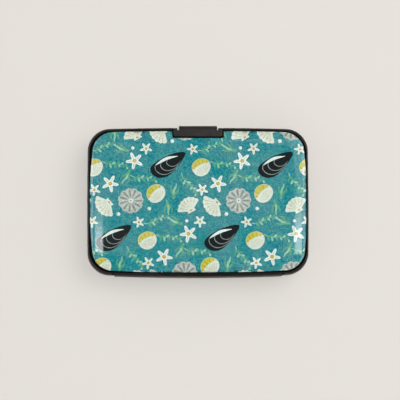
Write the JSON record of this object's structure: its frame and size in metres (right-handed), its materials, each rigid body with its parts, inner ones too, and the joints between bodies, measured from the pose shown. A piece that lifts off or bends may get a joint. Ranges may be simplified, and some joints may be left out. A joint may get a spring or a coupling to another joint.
{
  "type": "hard card wallet",
  "caption": "Flat hard card wallet: hinged black frame halves with glossy printed covers, a rocking spring latch on one long edge and a pleated fan of card pockets inside.",
  "frame": {"origin": "centre of the flat back face that the wallet lies on", "axes": "+Z out of the printed front, +Y from the hinge to the latch, +X to the right seen from the front"},
  "size_m": [0.11, 0.0753, 0.02],
  "materials": {
    "black_plastic": "satin black moulded plastic",
    "printed_plastic": "printed plate under clear gloss",
    "aluminium": "plain rolled sheet",
    "steel": "drawn wire",
    "pocket_film": "smoked polypropylene film",
    "foam_tape": "closed-cell foam"
  },
  "bodies": {
    "back_half": {"back_frame": "black_plastic", "back_cover": "printed_plastic", "back_shield": "aluminium", "back_tape": "foam_tape", "hinge_pin": "steel", "pocket_sheet_0": "pocket_film", "gusset_left": "pocket_film", "gusset_right": "pocket_film", "gusset_bottom": "pocket_film"},
    "front_half": {"front_frame": "black_plastic", "front_cover": "printed_plastic", "front_shield": "aluminium", "front_tape": "foam_tape", "latch_pin": "steel", "latch_spring": "steel"},
    "latch": {"latch_lever": "black_plastic"},
    "leaf_1": {"pocket_sheet_1": "pocket_film"},
    "leaf_2": {"pocket_sheet_2": "pocket_film"},
    "leaf_3": {"pocket_sheet_3": "pocket_film"},
    "leaf_4": {"pocket_sheet_4": "pocket_film"},
    "leaf_5": {"pocket_sheet_5": "pocket_film"},
    "leaf_6": {"pocket_sheet_6": "pocket_film"},
    "leaf_7": {"pocket_sheet_7": "pocket_film"}
  },
  "joints": [
    {"name": "case_hinge", "type": "hinge", "parent": "back_half", "child": "front_half", "pos_m": [0, -0.0352, 0.01], "axis": [1, 0, 0], "range_deg": [0, 60], "deforming": ["gusset_left", "gusset_right", "gusset_bottom"]},
    {"name": "latch_pivot", "type": "hinge", "parent": "front_half", "child": "latch", "pos_m": [0, 0.0347, 0.0156], "axis": [1, 0, 0], "range_deg": [0, 7], "stiffness_Nm_per_rad": 0.005},
    {"name": "leaf_1_fold", "type": "hinge", "parent": "back_half", "child": "leaf_1", "pos_m": [0, -0.0352, 0.01], "axis": [1, 0, 0], "range_deg": [0, 8.6]},
    {"name": "leaf_2_fold", "type": "hinge", "parent": "leaf_1", "child": "leaf_2", "pos_m": [0, -0.0352, 0.01], "axis": [1, 0, 0], "range_deg": [0, 8.6]},
    {"name": "leaf_3_fold", "type": "hinge", "parent": "leaf_2", "child": "leaf_3", "pos_m": [0, -0.0352, 0.01], "axis": [1, 0, 0], "range_deg": [0, 8.6]},
    {"name": "leaf_4_fold", "type": "hinge", "parent": "leaf_3", "child": "leaf_4", "pos_m": [0, -0.0352, 0.01], "axis": [1, 0, 0], "range_deg": [0, 8.6]},
    {"name": "leaf_5_fold", "type": "hinge", "parent": "leaf_4", "child": "leaf_5", "pos_m": [0, -0.0352, 0.01], "axis": [1, 0, 0], "range_deg": [0, 8.6]},
    {"name": "leaf_6_fold", "type": "hinge", "parent": "leaf_5", "child": "leaf_6", "pos_m": [0, -0.0352, 0.01], "axis": [1, 0, 0], "range_deg": [0, 8.6]},
    {"name": "leaf_7_fold", "type": "hinge", "parent": "leaf_6", "child": "leaf_7", "pos_m": [0, -0.0352, 0.01], "axis": [1, 0, 0], "range_deg": [0, 8.6]}
  ],
  "couplings": [
    {"joint": "leaf_1_fold", "follows": "case_hinge", "ratio": 0.14286},
    {"joint": "leaf_2_fold", "follows": "case_hinge", "ratio": 0.14286},
    {"joint": "leaf_3_fold", "follows": "case_hinge", "ratio": 0.14286},
    {"joint": "leaf_4_fold", "follows": "case_hinge", "ratio": 0.14286},
    {"joint": "leaf_5_fold", "follows": "case_hinge", "ratio": 0.14286},
    {"joint": "leaf_6_fold", "follows": "case_hinge", "ratio": 0.14286},
    {"joint": "leaf_7_fold", "follows": "case_hinge", "ratio": 0.14286}
  ]
}
